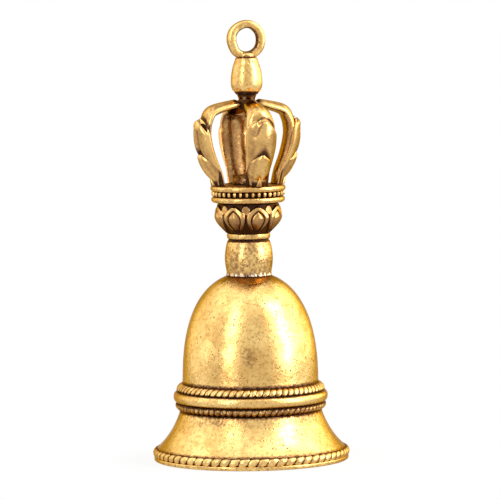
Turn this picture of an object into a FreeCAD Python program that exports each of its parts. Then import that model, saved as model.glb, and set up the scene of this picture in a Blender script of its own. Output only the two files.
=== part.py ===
import FreeCAD, Part
import math
import os

# A small cast-brass hand bell of the Himalayan ritual kind, hung by a loop on its crown.
# Millimetres, +Z up, origin on the bell's axis in the plane that its mouth stands on.
# Its turned pieces are stacked on one eye bolt. The crown is four leaf prongs round an open cage.

V = FreeCAD.Vector

# --- Driving dimensions: the cup ---
lip_r = 13.30            # outer radius of the plain lip at the mouth
lip_h = 0.55             # height of that lip
lip_w = 1.55             # width of the flat lip that the bell stands on
skirt_set = 0.35         # how far the foot of the skirt stands back from the lip
skirt_h = 5.25           # height of the flared skirt above the rim rope
skirt_hollow = 0.33      # how far the skirt's outer curve is hollowed from a straight cone
waist_r = 9.30           # radius of the turned seat that the waist hoops are pushed onto
waist_ledge = 0.40       # ledge under the hoops at the top of the skirt
dome_h = 15.036          # height of the dome curve from the waist to where it would close
dome_power = 2.4         # squareness of the dome curve
wall = 1.15              # wall of the cup
crown_wall = 1.60        # thickness of the cup's closed top

# --- Driving dimensions: hoops on the cup ---
rim_rope_h = 1.05
rim_rope_proud = 0.15    # how far the rim rope stands out past the lip
rim_rope_w = 0.95        # thickness of the rim rope from its seat outwards
rim_strand_count = 64
lower_rope_h = 0.80
lower_rope_w = 0.85
lower_rope_taper = -0.25
lower_strand_count = 72
band_h = 1.80
band_w = 1.25
upper_rope_h = 1.10
upper_rope_w = 1.13
upper_rope_taper = 0.55
upper_strand_count = 68
strand_lean = 52.0       # degrees between a strand and the horizontal
strand_groove = 0.30     # depth of the groove between two strands

# --- Driving dimensions: neck, lotus and crown base ---
neck_h = 5.00
neck_end_r = 2.90
neck_belly_r = 3.27
collar_h = 0.85
collar_r = 2.95
lotus_h = 4.10
lotus_foot_r = 2.85
lotus_r = 4.30
lotus_top_r = 4.12
petal_count = 8
petal_relief = 0.30
base_h = 0.90
base_r = 5.05
bead_h = 0.80
bead_w = 0.65            # thickness of the beaded ring from the spigot outwards
bead_count = 36
ring_h = 0.70
ring_proud = 0.08        # how far the upper ring stands out past the lower one
edge_ease = 0.18         # bevel on the edges of the crown's rings

# --- Driving dimensions: prongs, hub, bud and loop ---
prong_count = 4
cage_h = 10.95           # from the crown ring up to the middle of the prong tips
prong_bulge = 6.30       # radius of the prong's middle line at its widest
prong_foot_rho = 4.10    # radius of the middle of the prong's foot
prong_half_w = 2.00      # widest half width of a prong
prong_foot_w = 1.25      # half width of a prong's foot
leaf_t = 1.45            # thickness of a leaf along its ridge
furrow_w = 0.42          # half width of the furrow in a middle leaf, one leaf thickness above its bed
tenon_w = 0.70
tenon_h = 0.45
hub_r = 1.30
hub_h = 1.50
hub_stem_r = 0.42
hub_stem_h = 1.00
hub_collar_r = 1.45
hub_collar_h = 0.60
spigot_r = 0.70
spigot_h = 1.40
bud_h = 5.00
bud_r = 2.15
bud_foot_r = 1.50
bud_top_r = 1.45
loop_hole_r = 1.50
loop_r = 2.72
loop_t = 1.50            # thickness of the loop along its hole
loop_bevel = 0.32        # bevel round the outside of the loop
loop_hole_bevel = 0.12   # smaller bevel round its hole
loop_sink = 0.30         # how far the ring dips into its own foot
loop_foot_r = 1.25
loop_tenon_r = 0.60
loop_tenon_h = 1.20

# --- Driving dimensions: bolt, nut and clapper ---
bolt_r = 1.00
flange_r = 1.75
flange_h = 0.40
washer_r = 2.30
washer_h = 0.50
nut_r = 2.05
nut_h = 1.50
nut_wall = 0.45
eye_wire = 0.45          # wire radius of the bolt's eye
eye_r = 1.30             # mean radius of the bolt's eye
link_wire = 0.35
link_pitch = 2.60        # between the link's two pivots
clapper_wire = 0.35      # wire radius of the clapper's own eye
rod_r = 0.55
ball_r = 2.70
ball_z = 5.20            # height of the middle of the clapper ball
rivet_r = 0.95
rivet_h = 0.45
hang_gap = 0.12          # running gap of the chain of eyes

# --- Clearances ---
slip = 0.04              # radial clearance of pushed-on hoops, bored pieces, tenons and spigots

# --- Radii worked out from those they fit ---
mouth_r = lip_r - lip_w
skirt_foot_r = lip_r - skirt_set
rim_rope_r = lip_r + rim_rope_proud
rim_seat_r = rim_rope_r - rim_rope_w
skirt_top_r = waist_r + waist_ledge
bead_seat_r = base_r - bead_w
ring_r = base_r + ring_proud

# --- Heights worked out from the stack ---
rim_top_z = lip_h + rim_rope_h
skirt_top_z = rim_top_z + skirt_h
band_z = skirt_top_z + lower_rope_h
upper_rope_z = band_z + band_h
dome_z = upper_rope_z + upper_rope_h


def dome_top(foot_radius, height, seat_radius):
    """Height above the waist at which the dome curve narrows to seat_radius."""
    share = 1 - (seat_radius / foot_radius) ** dome_power
    return height * share ** (1 / dome_power)


cup_top_z = dome_z + dome_top(waist_r, dome_h, neck_end_r)
cavity_top_z = cup_top_z - crown_wall
collar_z = cup_top_z + neck_h
lotus_z = collar_z + collar_h
base_z = lotus_z + lotus_h
bead_z = base_z + base_h
ring_z = bead_z + bead_h
cage_z = ring_z + ring_h
tip_z = cage_z + cage_h
hub_z = tip_z - hub_h / 2
hub_collar_z = hub_z + hub_h
bud_z = hub_collar_z + hub_collar_h
loop_foot_z = bud_z + bud_h
loop_z = loop_foot_z + loop_r - loop_sink
flange_z = cavity_top_z - washer_h - flange_h
eye_z = flange_z - eye_r - 0.8 * eye_wire
link_pivot_z = eye_z - eye_r
clapper_pivot_z = link_pivot_z - link_pitch
bolt_end_z = cage_z + nut_h - nut_wall - slip


# --- Shared operations ---
def outline(*corners):
    """Closed face in the XZ plane through (r, z) corners."""
    points = [V(r, 0, z) for r, z in corners]
    return Part.Face(Part.makePolygon(points + [points[0]]))


def turned(*corners):
    """Solid of revolution about Z of an outline."""
    return outline(*corners).revolve(V(0, 0, 0), V(0, 0, 1), 360)


def bowed_line(a, b, bow, steps):
    """Corners from a to b along a shallow parabola that stands bow to the left of that direction."""
    corners = []
    for k in range(1, steps):
        share = k / steps
        straight = (a[0] + (b[0] - a[0]) * share, a[1] + (b[1] - a[1]) * share)
        corners.append(bowed_point(a, b, straight, 4 * share * (1 - share) * bow))
    return corners + [b]


def bowed_point(a, b, at, bow):
    """Point moved from at by bow, square to the left of a to b."""
    dr, dz = b[0] - a[0], b[1] - a[1]
    length = math.hypot(dr, dz)
    return (at[0] - dz / length * bow, at[1] + dr / length * bow)


def around(shape, count, first=0.0):
    """Copies of a shape at equal angles about Z."""
    copies = []
    for k in range(count):
        copy = shape.copy()
        copy.rotate(V(0, 0, 0), V(0, 0, 1), first + 360.0 * k / count)
        copies.append(copy)
    return copies


def bored(shape, radius, z0, z1):
    """The shape with a round hole along Z."""
    return shape.cut(Part.makeCylinder(radius, z1 - z0, V(0, 0, z0)))


def wire_ring(mean_r, wire_r, centre, axis, sides=8):
    """Closed ring of wire, turned from a many-sided section that the round wire just fits in."""
    corner_r = wire_r / math.cos(math.pi / sides)
    corners = []
    for k in range(sides):
        turn = 2 * math.pi * (k + 0.5) / sides
        corners.append((mean_r + corner_r * math.cos(turn), corner_r * math.sin(turn)))
    ring = turned(*corners)
    ring.Placement = FreeCAD.Placement(centre, FreeCAD.Rotation(V(0, 0, 1), axis))
    return ring


def save(name, shape):
    """Write one sub-part, tidied to plain solids."""
    solids = shape.removeSplitter().Solids
    result = solids[0] if len(solids) == 1 else Part.makeCompound(solids)
    if not result.isValid():
        print("not valid:", name)
    result.exportStep("parts/" + name + ".step")
    box = result.BoundBox
    print(name, len(solids), round(result.Volume, 3), round(box.ZMin, 2), round(box.ZMax, 2))


# --- Cup ---
def dome_curve(foot_radius, height, seat_radius, steps):
    """Corners of the dome curve from the waist up, closer together towards the top."""
    top = dome_top(foot_radius, height, seat_radius)
    curve = []
    for k in range(1, steps + 1):
        rise = top * math.sin(math.pi / 2 * k / steps)
        radius = foot_radius * (1 - (rise / height) ** dome_power) ** (1 / dome_power)
        curve.append((radius, dome_z + rise))
    return curve


def bell_cup():
    """Dome, waist seat and flared skirt in one casting, open at the mouth."""
    skirt_foot, skirt_top = (skirt_foot_r, rim_top_z), (skirt_top_r, skirt_top_z)
    cup = turned(
        (0, 0),
        (lip_r, 0),
        (lip_r, lip_h),
        (rim_seat_r - slip, lip_h),
        (rim_seat_r - slip, rim_top_z),
        skirt_foot,
        *bowed_line(skirt_foot, skirt_top, skirt_hollow, 3),
        (waist_r - slip, skirt_top_z),
        (waist_r - slip, dome_z),
        *dome_curve(waist_r, dome_h, neck_end_r, 6),
        (0, cup_top_z),
    )
    inner_r = waist_r - wall
    inner_h = dome_h * (cavity_top_z - dome_z) / (cup_top_z - dome_z)
    vault = dome_curve(inner_r, inner_h, washer_r + wall / 2, 3)
    flare_foot, flare_top = (mouth_r, 0), (inner_r, skirt_top_z + lower_rope_h / 2)
    cavity = turned(
        (0, -1),
        (mouth_r, -1),
        flare_foot,
        *bowed_line(flare_foot, flare_top, skirt_hollow + wall / 4, 2),
        (inner_r, dome_z),
        *vault[:-1],
        (vault[-1][0], cavity_top_z),
        (0, cavity_top_z),
    )
    return bored(cup.cut(cavity), bolt_r + slip, cavity_top_z - 1, cup_top_z + 1)


# --- Hoops ---
def hoop_body(inner_r, low_r, high_r, z0, height):
    """Turned hoop with one outer face, which may slope."""
    return turned((inner_r, z0), (low_r, z0), (high_r, z0 + height), (inner_r, z0 + height))


def strand_cuts(radius, z0, height, count, lean):
    """Leaning V grooves all round a hoop, one between each two strands."""
    slope = math.radians(lean)
    along = V(math.cos(slope), 0, math.sin(slope))
    across = V(-math.sin(slope), 0, math.cos(slope))
    middle = V(0, -radius, z0 + height / 2)
    pitch = 2 * math.pi * radius / count
    half = 0.30 * pitch * math.sin(slope)
    proud = strand_groove
    reach = height / math.sin(slope)
    root = middle + V(0, strand_groove, 0)
    corners = [root, middle + across * 2 * half + V(0, -proud, 0), middle - across * 2 * half + V(0, -proud, 0)]
    start = [c - along * reach for c in corners]
    wedge = Part.Face(Part.makePolygon(start + [start[0]])).extrude(along * 2 * reach)
    return Part.makeCompound(around(wedge, count))


def rope_hoop(inner_r, width, taper, z0, height, strands):
    """Twisted-wire hoop. Its outer face leans in by taper towards the top."""
    low_r = inner_r + width + min(taper, 0)
    high_r = inner_r + width - max(taper, 0)
    body = hoop_body(inner_r, low_r, high_r, z0, height)
    return body.cut(strand_cuts((low_r + high_r) / 2, z0, height, strands, strand_lean))


def rim_rope():
    return rope_hoop(rim_seat_r, rim_rope_w, 0, lip_h, rim_rope_h, rim_strand_count)


def lower_waist_rope():
    return rope_hoop(waist_r, lower_rope_w, lower_rope_taper, skirt_top_z, lower_rope_h, lower_strand_count)


def upper_waist_rope():
    return rope_hoop(waist_r, upper_rope_w, upper_rope_taper, upper_rope_z, upper_rope_h, upper_strand_count)


def waist_band():
    """Plain half-round hoop between the two ropes, in three flats."""
    edge_r, face_r = waist_r + 0.62 * band_w, waist_r + band_w
    return turned(
        (waist_r, band_z),
        (edge_r, band_z),
        (face_r, band_z + 0.30 * band_h),
        (face_r, band_z + 0.70 * band_h),
        (edge_r, band_z + band_h),
        (waist_r, band_z + band_h),
    )


# --- Neck and lotus ---
def neck_barrel():
    """Barrel-shaped distance piece with a groove under the collar."""
    groove = 0.3
    foot, head = (neck_end_r, cup_top_z), (neck_end_r, collar_z - groove)
    body = turned(
        (0, cup_top_z),
        foot,
        *bowed_line(foot, head, neck_end_r - neck_belly_r, 3),
        (neck_end_r - groove / 2, collar_z - groove),
        (neck_end_r - groove / 2, collar_z),
        (0, collar_z),
    )
    return bored(body, bolt_r + slip, cup_top_z - 1, collar_z + 1)


def neck_collar():
    """Rounded collar between the neck and the lotus."""
    body = turned(
        (0, collar_z),
        (collar_r - collar_h / 4, collar_z),
        (collar_r, collar_z + 0.3 * collar_h),
        (collar_r, collar_z + 0.7 * collar_h),
        (collar_r - collar_h / 4, lotus_z),
        (0, lotus_z),
    )
    return bored(body, bolt_r + slip, collar_z - 1, lotus_z + 1)


def lotus_body(proud):
    """Core of the lotus cup, or the same form grown by proud."""
    return turned(
        (0, lotus_z),
        (lotus_foot_r + proud, lotus_z),
        (lotus_r + proud, lotus_z + 0.42 * lotus_h),
        (lotus_top_r + proud, base_z - 0.10 * lotus_h),
        (lotus_top_r - 0.1, base_z),
        (0, base_z),
    )


def petal_tool(half_w, z0, z1, shoulder):
    """Radial prism with a petal's outline, narrow at its foot and pointed at its head, facing -Y."""
    rise = z1 - z0
    side = [(0.45, 0.0), (0.86, 0.30 * shoulder / 0.55), (1.0, shoulder), (0.72, 0.5 * (1 + shoulder) + 0.02)]
    right = [V(half_w * x, 0, z0 + rise * y) for x, y in side]
    left = [V(-p.x, 0, p.z) for p in reversed(right)]
    corners = right + [V(0, 0, z1)] + left
    return Part.Face(Part.makePolygon(corners + [corners[0]])).extrude(V(0, -2 * base_r, 0))


def lotus_cup():
    """Cup of raised petals, each with a raised teardrop inside a border, and tips between them."""
    petal_w = 0.47 * 2 * math.pi * lotus_r / petal_count
    foot, top = lotus_z + 0.02 * lotus_h, lotus_z + 0.90 * lotus_h
    low = lotus_body(petal_relief * 0.5)
    high = lotus_body(petal_relief)
    border = petal_tool(petal_w, foot, top, 0.55)
    hollow = petal_tool(petal_w * 0.74, foot + 0.30, top - 0.42, 0.55)
    tear = petal_tool(petal_w * 0.40, foot + 0.55, top - 1.05, 0.55)
    tip = petal_tool(petal_w * 0.42, lotus_z + 0.55 * lotus_h, lotus_z + 0.97 * lotus_h, 0.40)
    frames = high.common(Part.makeCompound(around(border.cut(hollow), petal_count)))
    bosses = high.common(Part.makeCompound(around(tear, petal_count)))
    tips = low.common(Part.makeCompound(around(tip, petal_count, 180.0 / petal_count)))
    body = lotus_body(0).fuse(frames.Solids + bosses.Solids + tips.Solids)
    return bored(body, bolt_r + slip, lotus_z - 1, base_z + 1)


# --- Crown base ---
def crown_base():
    """Lower ring of the crown with the spigot that carries the beaded ring."""
    body = turned(
        (0, base_z),
        (base_r - edge_ease, base_z),
        (base_r, base_z + edge_ease),
        (base_r, bead_z - edge_ease),
        (base_r - edge_ease, bead_z),
        (bead_seat_r - slip, bead_z),
        (bead_seat_r - slip, ring_z),
        (0, ring_z),
    )
    return bored(body, bolt_r + slip, base_z - 1, ring_z + 1)


def bead_band():
    """Ring of upright beads pressed over the spigot."""
    body = hoop_body(bead_seat_r, base_r, base_r, bead_z, bead_h)
    return body.cut(strand_cuts(base_r, bead_z, bead_h, bead_count, 90.0))


def tenon(clearance, height):
    """Prong foot tenon on +X, or the pocket for it."""
    depth = leaf_t * 0.55
    return Part.makeBox(
        depth + 2 * clearance,
        2 * (tenon_w + clearance),
        height,
        V(prong_foot_rho - depth / 2 - clearance, -tenon_w - clearance, cage_z - tenon_h - clearance),
    )


def crown_ring():
    """Upper ring of the crown: the floor of the cage, with a pocket for each prong."""
    body = turned(
        (0, ring_z),
        (ring_r - edge_ease, ring_z),
        (ring_r, ring_z + edge_ease),
        (ring_r, cage_z - edge_ease),
        (ring_r - edge_ease, cage_z),
        (0, cage_z),
    )
    body = body.cut(Part.makeCompound(around(tenon(slip, tenon_h + 1), prong_count)))
    return bored(body, bolt_r + slip, ring_z - 1, cage_z + 1)


# --- Prongs ---
def skinned(sections):
    """Closed solid between like-sided sections, each side in two flat triangles."""
    faces = [Part.Face(Part.makePolygon(ring + [ring[0]])) for ring in (sections[0], sections[-1])]
    for low, high in zip(sections[:-1], sections[1:]):
        for k in range(len(low)):
            a, b, c, d = low[k - 1], low[k], high[k], high[k - 1]
            faces.append(Part.Face(Part.makePolygon([a, b, c, a])))
            faces.append(Part.Face(Part.makePolygon([a, c, d, a])))
    solid = Part.makeSolid(Part.makeShell(faces))
    return solid if solid.Volume > 0 else solid.reversed()


def across(spine, k):
    """Middle of the section at spine point k, and the way out of the leaf's face there."""
    ahead, behind = spine[min(k + 1, len(spine) - 1)], spine[max(k - 1, 0)]
    dr, dz = ahead[0] - behind[0], ahead[1] - behind[1]
    length = math.hypot(dr, dz)
    return V(spine[k][0], 0, spine[k][1]), V(dz / length, 0, -dr / length)


def leaf(spine, widths, thicknesses):
    """Leaf with a ridged face and a flat back, its sections square to a spine of (radius, height) points."""
    section = [(-1, 0), (-0.72, -0.42), (0.72, -0.42), (1, 0), (0.55, 0.36), (0, 0.58), (-0.55, 0.36)]
    rings = []
    for k in range(len(spine)):
        middle, out = across(spine, k)
        rings.append([middle + V(0, a * widths[k], 0) + out * (b * thicknesses[k]) for a, b in section])
    return skinned(rings)


def furrow(spine, sides, floors):
    """Three-sided tool for a furrow down a leaf's face: side is its place across, floor its depth line."""
    rings = []
    for k in range(len(spine)):
        middle, out = across(spine, k)
        bed = middle + V(0, sides[k], 0) + out * floors[k]
        rings.append([
            bed,
            bed + out * leaf_t + V(0, furrow_w, 0),
            bed + out * leaf_t - V(0, furrow_w, 0),
        ])
    return skinned(rings)


def along_cage(share, rho_share):
    """Spine point: share of the cage height, and share of the way out from the foot to the bulge."""
    rho = prong_foot_rho + rho_share * (prong_bulge - prong_foot_rho)
    return (rho, cage_z + share * cage_h)


def lower_leaf():
    """Short leaf that stands on the crown ring and leans out at its point."""
    spine = [
        along_cage(0, 0),
        along_cage(0.12, 0.05),
        along_cage(0.24, 0.40),
        along_cage(0.35, 0.80),
        along_cage(0.43, 1.12),
    ]
    w, f, t = prong_half_w, prong_foot_w, leaf_t
    return leaf(spine, [f, 1.2 * f, 0.78 * w, 0.60 * w, 0.06 * w], [t, t, 1.15 * t, 0.85 * t, 0.12 * t])


def middle_leaf():
    """Widest leaf. A furrow beside its ridge parts a small lobe from a large one at its head."""
    spine = [
        along_cage(0.18, 0.18),
        along_cage(0.34, 0.52),
        along_cage(0.50, 0.80),
        along_cage(0.64, 0.93),
        along_cage(0.75, 1.10),
        along_cage(0.825, 1.36),
    ]
    w, t = prong_half_w, leaf_t
    widths = [0.65 * w, 0.90 * w, w, w, 0.72 * w, 0.06 * w]
    body = leaf(spine, widths, [0.8 * t, 1.1 * t, 1.35 * t, 1.25 * t, 0.8 * t, 0.12 * t])
    return body.cut(furrow(
        [spine[1], spine[2], spine[3], spine[4]],
        [-0.22 * w, -0.28 * w, -0.32 * w, -0.30 * w],
        [0.66 * t, 0.52 * t, 0.36 * t, 0.10 * t],
    ))


def upper_leaf():
    """Leaf that closes the cage: its tip runs in to the hub."""
    spine = [
        along_cage(0.55, 0.74),
        along_cage(0.70, 0.82),
        along_cage(0.82, 0.68),
        along_cage(0.91, 0.34),
        (0.62 * prong_foot_rho, cage_z + 0.965 * cage_h),
        (0.60 * hub_r, tip_z),
    ]
    w, t = prong_half_w, leaf_t
    widths = [0.7 * w, 0.9 * w, 0.85 * w, 0.72 * w, 0.5 * w, 0.32 * w]
    return leaf(spine, widths, [0.8 * t, 1.05 * t, 1.05 * t, t, 0.85 * t, 0.75 * t])


def prong():
    """Three overlapping leaves with a spike at their foot. The lowest is tenoned into the crown ring."""
    spike = Part.makeCone(
        0.42 * prong_foot_w, 0.05 * prong_foot_w, 0.10 * cage_h, V(prong_foot_rho + 0.40 * leaf_t, 0, cage_z)
    )
    peg = tenon(0, tenon_h + leaf_t / 2)
    body = lower_leaf().fuse([middle_leaf(), upper_leaf(), spike, peg])
    body = body.cut(Part.makeCylinder(hub_r, 2 * hub_h, V(0, 0, hub_z - hub_h / 2)))
    under = Part.makeBox(4 * ring_r, 4 * ring_r, cage_h, V(-2 * ring_r, -2 * ring_r, cage_z - cage_h))
    return body.cut(under.cut(peg))


# --- Hub, bud and loop ---
def crown_hub():
    """Turned boss that the four tips close on, with a drop below and a spigot for the bud."""
    return turned(
        (0, hub_z - hub_stem_h),
        (hub_stem_r * 0.6, hub_z - hub_stem_h),
        (hub_stem_r, hub_z),
        (hub_r, hub_z + 0.2),
        (hub_r, hub_collar_z),
        (hub_collar_r, hub_collar_z),
        (hub_collar_r + 0.1, hub_collar_z + hub_collar_h / 2),
        (hub_collar_r, bud_z),
        (spigot_r, bud_z),
        (spigot_r, bud_z + spigot_h),
        (0, bud_z + spigot_h),
    )


def finial_bud():
    """Closed lotus bud, drilled at both ends."""
    body = turned(
        (0, bud_z),
        (bud_foot_r, bud_z),
        (bud_r, bud_z + 0.22 * bud_h),
        (bud_r, bud_z + 0.42 * bud_h),
        (0.84 * bud_r, bud_z + 0.74 * bud_h),
        (bud_top_r, loop_foot_z),
        (0, loop_foot_z),
    )
    body = bored(body, spigot_r + slip, bud_z - 1, bud_z + spigot_h + slip)
    return bored(body, loop_tenon_r + slip, loop_foot_z - loop_tenon_h - slip, loop_foot_z + 1)


def hang_loop():
    """Cast ring with bevelled edges, its hole along Y, on a round foot and tenon."""
    half = loop_t / 2
    section = Part.makePolygon([
        V(loop_hole_r, -half + loop_hole_bevel, 0),
        V(loop_hole_r + loop_hole_bevel, -half, 0),
        V(loop_r - loop_bevel, -half, 0),
        V(loop_r, -half + loop_bevel, 0),
        V(loop_r, half - loop_bevel, 0),
        V(loop_r - loop_bevel, half, 0),
        V(loop_hole_r + loop_hole_bevel, half, 0),
        V(loop_hole_r, half - loop_hole_bevel, 0),
        V(loop_hole_r, -half + loop_hole_bevel, 0),
    ])
    ring = Part.Face(section).revolve(V(0, 0, 0), V(0, 1, 0), 360)
    ring.translate(V(0, 0, loop_z))
    foot_h = loop_z - loop_hole_r - loop_foot_z
    foot = Part.makeCone(loop_foot_r, 0.8 * loop_foot_r, foot_h, V(0, 0, loop_foot_z))
    pin = Part.makeCylinder(loop_tenon_r, loop_tenon_h + foot_h / 2, V(0, 0, loop_foot_z - loop_tenon_h))
    loop = ring.fuse([foot, pin])
    loop = loop.cut(Part.makeCylinder(loop_hole_r, 2 * loop_r, V(0, -loop_r, loop_z), V(0, 1, 0)))
    base = V(0, 0, loop_foot_z - loop_tenon_h - 1)
    below = Part.makeCylinder(loop_r, loop_tenon_h + 1, base)
    return loop.cut(below.cut(Part.makeCylinder(loop_tenon_r, loop_tenon_h + 2, base)))


# --- Bolt, washer and nut ---
def eye_bolt():
    """Bolt through the whole stack, with a flange and a wire eye below it for the clapper."""
    shank = Part.makeCylinder(bolt_r, bolt_end_z - flange_z, V(0, 0, flange_z))
    flange = Part.makeCylinder(flange_r, flange_h, V(0, 0, flange_z))
    eye = wire_ring(eye_r, eye_wire, V(0, 0, eye_z), V(0, 1, 0))
    return shank.fuse([flange, eye])


def bell_washer():
    """Washer between the bolt's flange and the inside of the cup."""
    body = Part.makeCylinder(washer_r, washer_h, V(0, 0, cavity_top_z - washer_h))
    return bored(body, bolt_r + slip, cavity_top_z - 2 * washer_h, cavity_top_z + 1)


def crown_nut():
    """Domed nut on the floor of the cage."""
    body = turned(
        (0, cage_z),
        (nut_r, cage_z),
        (nut_r, cage_z + nut_h / 3),
        (0.80 * nut_r, cage_z + 0.80 * nut_h),
        (0.30 * nut_r, cage_z + nut_h),
        (0, cage_z + nut_h),
    )
    return bored(body, bolt_r + slip, cage_z - 1, bolt_end_z + slip)


# --- Clapper ---
def clapper_link():
    """Oblong link of wire in the YZ plane, hung on the bolt's eye: two half rings and two legs."""
    bend_r = eye_wire + hang_gap + link_wire
    top = link_pivot_z
    low = clapper_pivot_z + bend_r
    ring = wire_ring(bend_r, link_wire, V(0, 0, 0), V(1, 0, 0))
    room = 2 * (bend_r + 2 * link_wire)
    upper_half = ring.common(Part.makeBox(room, room, room, V(-room / 2, -room / 2, 0)))
    lower_half = ring.common(Part.makeBox(room, room, room, V(-room / 2, -room / 2, -room)))
    legs = []
    for face in upper_half.Faces:
        if abs(face.CenterOfMass.z) < slip / 10 and face.BoundBox.ZLength < slip / 10:
            leg = face.copy()
            leg.translate(V(0, 0, low))
            legs.append(leg.extrude(V(0, 0, top - low)))
    upper_half.translate(V(0, 0, top))
    lower_half.translate(V(0, 0, low))
    return upper_half.fuse([lower_half] + legs)


def clapper_rod():
    """Round rod with an eye at its top, passed through the ball and riveted under it."""
    eye_mean = link_wire + hang_gap + clapper_wire
    eye = wire_ring(eye_mean, clapper_wire, V(0, 0, clapper_pivot_z), V(0, 1, 0))
    rod_top = clapper_pivot_z - eye_mean
    rod_end = ball_z - ball_r
    rod = Part.makeCylinder(rod_r, rod_top - rod_end, V(0, 0, rod_end))
    swell = Part.makeCone(rod_r, clapper_wire, clapper_wire, V(0, 0, rod_top))
    flat = ball_z - math.sqrt(ball_r ** 2 - rivet_r ** 2)
    rivet = Part.makeCone(0.6 * rivet_r, rivet_r, rivet_h, V(0, 0, flat - rivet_h))
    hole = Part.makeCylinder(link_wire + hang_gap, 4 * rod_r, V(0, -2 * rod_r, clapper_pivot_z), V(0, 1, 0))
    return rod.fuse([eye, swell, rivet]).cut(hole)


def clapper_ball():
    """Turned ball in flat zones, drilled for the rod, with a small flat underneath for the rivet."""
    flat = ball_z - math.sqrt(ball_r ** 2 - rivet_r ** 2)
    zones = 6
    low = math.asin((ball_z - flat) / ball_r)
    corners = []
    for k in range(zones + 1):
        turn = -low + 2 * low * k / zones
        corners.append((ball_r * math.cos(turn), ball_z + ball_r * math.sin(turn)))
    ball = turned((0, corners[0][1]), *corners, (0, corners[-1][1]))
    return bored(ball, rod_r + slip, ball_z - 2 * ball_r, ball_z + 2 * ball_r)


# --- All the sub-parts ---
save("bell_cup", bell_cup())
save("rim_rope", rim_rope())
save("lower_waist_rope", lower_waist_rope())
save("waist_band", waist_band())
save("upper_waist_rope", upper_waist_rope())
save("neck_barrel", neck_barrel())
save("neck_collar", neck_collar())
save("lotus_cup", lotus_cup())
save("crown_base", crown_base())
save("bead_band", bead_band())
save("crown_ring", crown_ring())
prong_names = ("prong_right", "prong_back", "prong_left", "prong_front")
for prong_name, prong_shape in zip(prong_names, around(prong(), prong_count)):
    save(prong_name, prong_shape)
save("crown_hub", crown_hub())
save("finial_bud", finial_bud())
save("hang_loop", hang_loop())
save("eye_bolt", eye_bolt())
save("bell_washer", bell_washer())
save("crown_nut", crown_nut())
save("clapper_link", clapper_link())
save("clapper_rod", clapper_rod())
save("clapper_ball", clapper_ball())
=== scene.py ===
import math

import bpy
import numpy as np
from mathutils import Matrix, Vector


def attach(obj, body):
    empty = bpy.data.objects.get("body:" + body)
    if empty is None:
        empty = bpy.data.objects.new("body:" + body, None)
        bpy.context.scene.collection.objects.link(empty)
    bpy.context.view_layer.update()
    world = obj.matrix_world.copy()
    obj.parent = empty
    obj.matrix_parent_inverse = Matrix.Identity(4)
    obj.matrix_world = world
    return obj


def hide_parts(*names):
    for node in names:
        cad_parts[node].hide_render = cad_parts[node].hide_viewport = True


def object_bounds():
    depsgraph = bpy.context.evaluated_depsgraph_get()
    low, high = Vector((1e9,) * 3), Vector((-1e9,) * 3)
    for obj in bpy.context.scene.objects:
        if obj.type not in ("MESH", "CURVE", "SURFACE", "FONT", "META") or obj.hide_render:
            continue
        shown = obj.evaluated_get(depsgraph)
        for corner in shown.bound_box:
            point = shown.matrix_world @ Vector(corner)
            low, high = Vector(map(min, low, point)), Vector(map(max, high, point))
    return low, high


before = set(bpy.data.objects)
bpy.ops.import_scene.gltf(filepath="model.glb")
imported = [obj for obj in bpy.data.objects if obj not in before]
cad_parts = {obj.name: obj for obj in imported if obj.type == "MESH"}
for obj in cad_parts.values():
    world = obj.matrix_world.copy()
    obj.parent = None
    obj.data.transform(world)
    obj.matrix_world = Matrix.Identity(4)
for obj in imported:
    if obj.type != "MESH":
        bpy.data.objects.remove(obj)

cad_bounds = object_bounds()

# ---------------------------------------------------------------- Camera and room
# The bell stands on a white table in front of a white sweep, seen from a little above. White walls
# and ceiling panels close it in on both sides, the right side brighter, with narrow bright strips
# towards the camera, which stands in the gap between them.
low, high = (np.array(corner) for corner in cad_bounds)
height = high[2] - low[2]
camera_azimuth = math.radians(-18.0)
camera_elevation = math.radians(4.7)
camera_distance = 0.56
camera_roll = math.radians(-0.75)
view_height = 0.0682          # height of the picture at the bell's axis
aim_share, aim_right = 0.477, 0.00017     # where the picture's middle lies, up the bell and to its right

scene = bpy.context.scene
scene.view_settings.view_transform = "Standard"
camera = bpy.data.objects.new("camera", bpy.data.cameras.new("camera"))
scene.collection.objects.link(camera)
scene.camera = camera
camera.data.angle = 2 * math.atan(view_height / 2 / camera_distance)
camera.data.clip_start = 0.01
towards = Vector((
    math.sin(camera_azimuth) * math.cos(camera_elevation),
    -math.cos(camera_azimuth) * math.cos(camera_elevation),
    math.sin(camera_elevation),
))
right = Vector((math.cos(camera_azimuth), math.sin(camera_azimuth), 0.0))
aim = Vector((0.0, 0.0, aim_share * height)) + right * aim_right
turn = towards.to_track_quat("Z", "Y") @ Matrix.Rotation(camera_roll, 4, "Z").to_quaternion()
camera.matrix_world = Matrix.Translation(aim + towards * camera_distance) @ turn.to_matrix().to_4x4()


def screen(name, azimuth, elevation, distance, width, tall, power):
    """Tall soft light of a given size in metres, aimed at the middle of the bell."""
    lamp = bpy.data.lights.new(name, "AREA")
    lamp.shape = "RECTANGLE"
    lamp.size = width
    lamp.size_y = tall
    lamp.energy = power
    a, e = camera_azimuth + math.radians(azimuth), math.radians(elevation)
    way = Vector((math.sin(a) * math.cos(e), -math.cos(a) * math.cos(e), math.sin(e)))
    holder = bpy.data.objects.new(name, lamp)
    scene.collection.objects.link(holder)
    holder.matrix_world = Matrix.Translation(Vector((0, 0, 0.5 * height)) + way * distance) @ \
        way.to_track_quat("Z", "Y").to_matrix().to_4x4()
    return holder


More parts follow.
